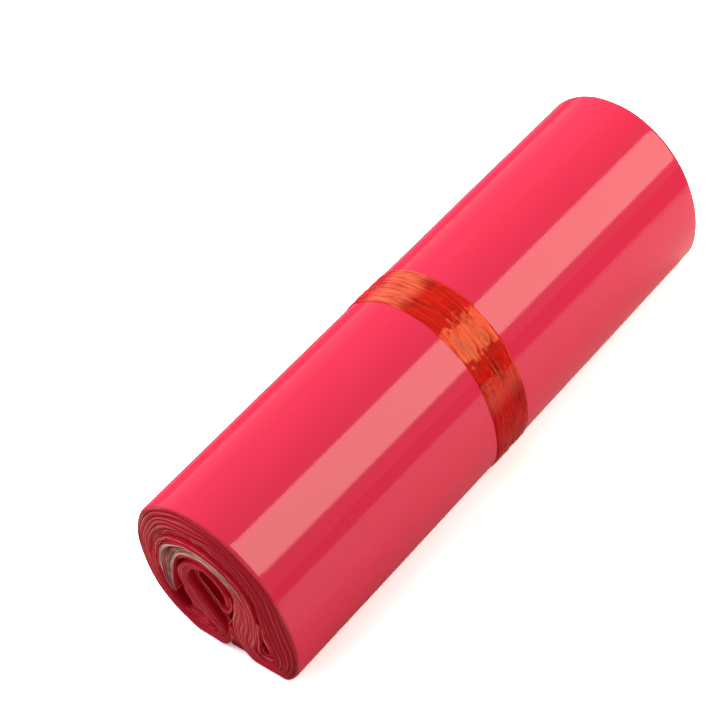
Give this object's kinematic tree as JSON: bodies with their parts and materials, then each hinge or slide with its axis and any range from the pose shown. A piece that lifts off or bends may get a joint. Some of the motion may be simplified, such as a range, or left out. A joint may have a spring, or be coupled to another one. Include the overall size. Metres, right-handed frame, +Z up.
{
  "type": "roll of poly mailer bags",
  "caption": "Roll of stacked film mailing bags, curled into a double scroll with the strips over their glue lines showing at the ends, and tied round its middle with clear tape.",
  "frame": {"origin": "on the surface the roll lies on, under the middle of its box", "axes": "+X along the roll, +Z up; the stack's two lobes meet in the cleft underneath"},
  "size_m": [0.28, 0.0825, 0.0826],
  "materials": {
    "film": "smooth glossy polyethylene film",
    "liner": "thin pale release paper, seen on edge",
    "tape": "thin glossy see-through tape, finely wrinkled"
  },
  "bodies": {
    "root": {"bag_roll": "film", "release_liners": "liner", "tie_tape": "tape"}
  },
  "joints": []
}
